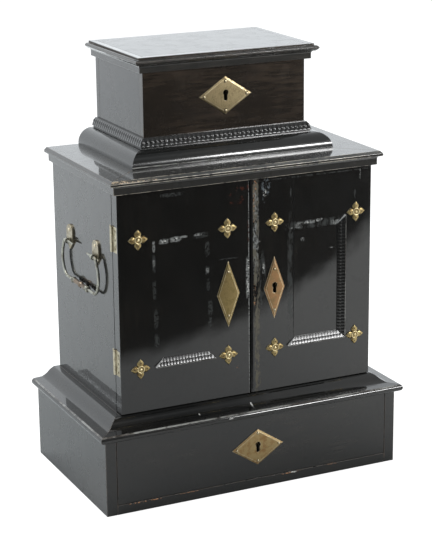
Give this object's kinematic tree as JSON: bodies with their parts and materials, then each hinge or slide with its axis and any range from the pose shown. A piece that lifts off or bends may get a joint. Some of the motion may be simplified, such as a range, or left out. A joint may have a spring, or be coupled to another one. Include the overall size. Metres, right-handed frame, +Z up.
{
  "type": "table cabinet",
  "caption": "Black ebonised table cabinet on a drawer base, with hinged doors, lidded box on top, ripple mouldings, brass lozenge plates, rosettes and side bail handles.",
  "frame": {"origin": "middle of the whole outline, on the surface that the base stands on", "axes": "+Z up, +Y to the back, +X to the right as seen from the front; the doors and drawer face -Y"},
  "size_m": [0.416, 0.2436, 0.539],
  "materials": {
    "ebonised_wood": "high polish",
    "plain_wood": "waxed",
    "brass": "aged",
    "iron": "dull"
  },
  "bodies": {
    "cabinet": {"base_bottom": "ebonised_wood", "base_left_side": "ebonised_wood", "base_right_side": "ebonised_wood", "base_back": "plain_wood", "base_top": "ebonised_wood", "base_moulding_front": "ebonised_wood", "base_moulding_left": "ebonised_wood", "base_moulding_right": "ebonised_wood", "case_left_side": "ebonised_wood", "case_right_side": "ebonised_wood", "case_bottom": "plain_wood", "case_back": "plain_wood", "case_top": "ebonised_wood", "shelves": "plain_wood", "cornice_front": "ebonised_wood", "cornice_left": "ebonised_wood", "cornice_right": "ebonised_wood", "handle_plates": "brass", "handle_eyes": "brass", "box_front": "ebonised_wood", "box_left_side": "ebonised_wood", "box_right_side": "ebonised_wood", "box_back": "plain_wood", "box_bottom": "plain_wood", "box_ovolo": "ebonised_wood", "box_ripple_strips": "ebonised_wood", "box_escutcheon": "brass", "box_lock_case": "iron", "door_hinge_case_leaves": "brass", "lid_hinge_box_leaves": "brass", "hinge_pins": "iron"},
    "base_drawer": {"drawer_front": "ebonised_wood", "drawer_left_side": "plain_wood", "drawer_right_side": "plain_wood", "drawer_back": "plain_wood", "drawer_bottom": "plain_wood", "drawer_escutcheon": "brass", "drawer_lock_case": "iron"},
    "drawer_bolt": {"drawer_lock_bolt": "iron"},
    "left_leaf": {"left_door": "ebonised_wood", "left_door_rosettes": "brass", "left_door_lozenge": "brass", "left_door_ripple_strip": "ebonised_wood", "left_door_bolt_plate": "iron", "left_door_hinge_leaves": "brass"},
    "left_leaf_bolt": {"left_door_bolt": "iron"},
    "right_leaf": {"right_door": "ebonised_wood", "right_door_rosettes": "brass", "right_door_escutcheon": "brass", "right_door_ripple_strips": "ebonised_wood", "right_door_lock_case": "iron", "right_door_hinge_leaves": "brass"},
    "right_leaf_bolt": {"right_door_lock_bolt": "iron"},
    "lid": {"lid_board": "ebonised_wood", "lid_mouldings": "ebonised_wood", "lid_lock_staple": "iron", "lid_hinge_lid_leaves": "brass"},
    "box_bolt": {"box_lock_bolt": "iron"},
    "left_handle": {"left_bail": "brass"},
    "right_handle": {"right_bail": "brass"}
  },
  "joints": [
    {"name": "drawer_slide", "type": "slide", "parent": "cabinet", "child": "base_drawer", "axis": [0, -1, 0], "range_m": [0, 0.18]},
    {"name": "drawer_bolt_slide", "type": "slide", "parent": "base_drawer", "child": "drawer_bolt", "axis": [0, 0, 1], "range_m": [0, 0.007]},
    {"name": "left_door_hinge", "type": "hinge", "parent": "cabinet", "child": "left_leaf", "pos_m": [-0.1686, -0.0744, 0.254], "axis": [0, 0, -1], "range_deg": [0, 180]},
    {"name": "left_door_bolt_slide", "type": "slide", "parent": "left_leaf", "child": "left_leaf_bolt", "axis": [0, 0, 1], "range_m": [0, 0.01]},
    {"name": "right_door_hinge", "type": "hinge", "parent": "cabinet", "child": "right_leaf", "pos_m": [0.1748, -0.0744, 0.254], "axis": [0, 0, 1], "range_deg": [0, 180]},
    {"name": "right_door_bolt_slide", "type": "slide", "parent": "right_leaf", "child": "right_leaf_bolt", "axis": [-1, 0, 0], "range_m": [0, 0.008]},
    {"name": "lid_hinge", "type": "hinge", "parent": "cabinet", "child": "lid", "pos_m": [0.0031, 0.1196, 0.5199], "axis": [-1, 0, 0], "range_deg": [0, 100]},
    {"name": "box_bolt_slide", "type": "slide", "parent": "cabinet", "child": "box_bolt", "axis": [-1, 0, 0], "range_m": [0, 0.009]},
    {"name": "left_bail_pivot", "type": "hinge", "parent": "cabinet", "child": "left_handle", "pos_m": [-0.1738, 0.0192, 0.3], "axis": [0, 1, 0], "range_deg": [0, 180]},
    {"name": "right_bail_pivot", "type": "hinge", "parent": "cabinet", "child": "right_handle", "pos_m": [0.18, 0.0192, 0.3], "axis": [0, -1, 0], "range_deg": [0, 180]}
  ]
}
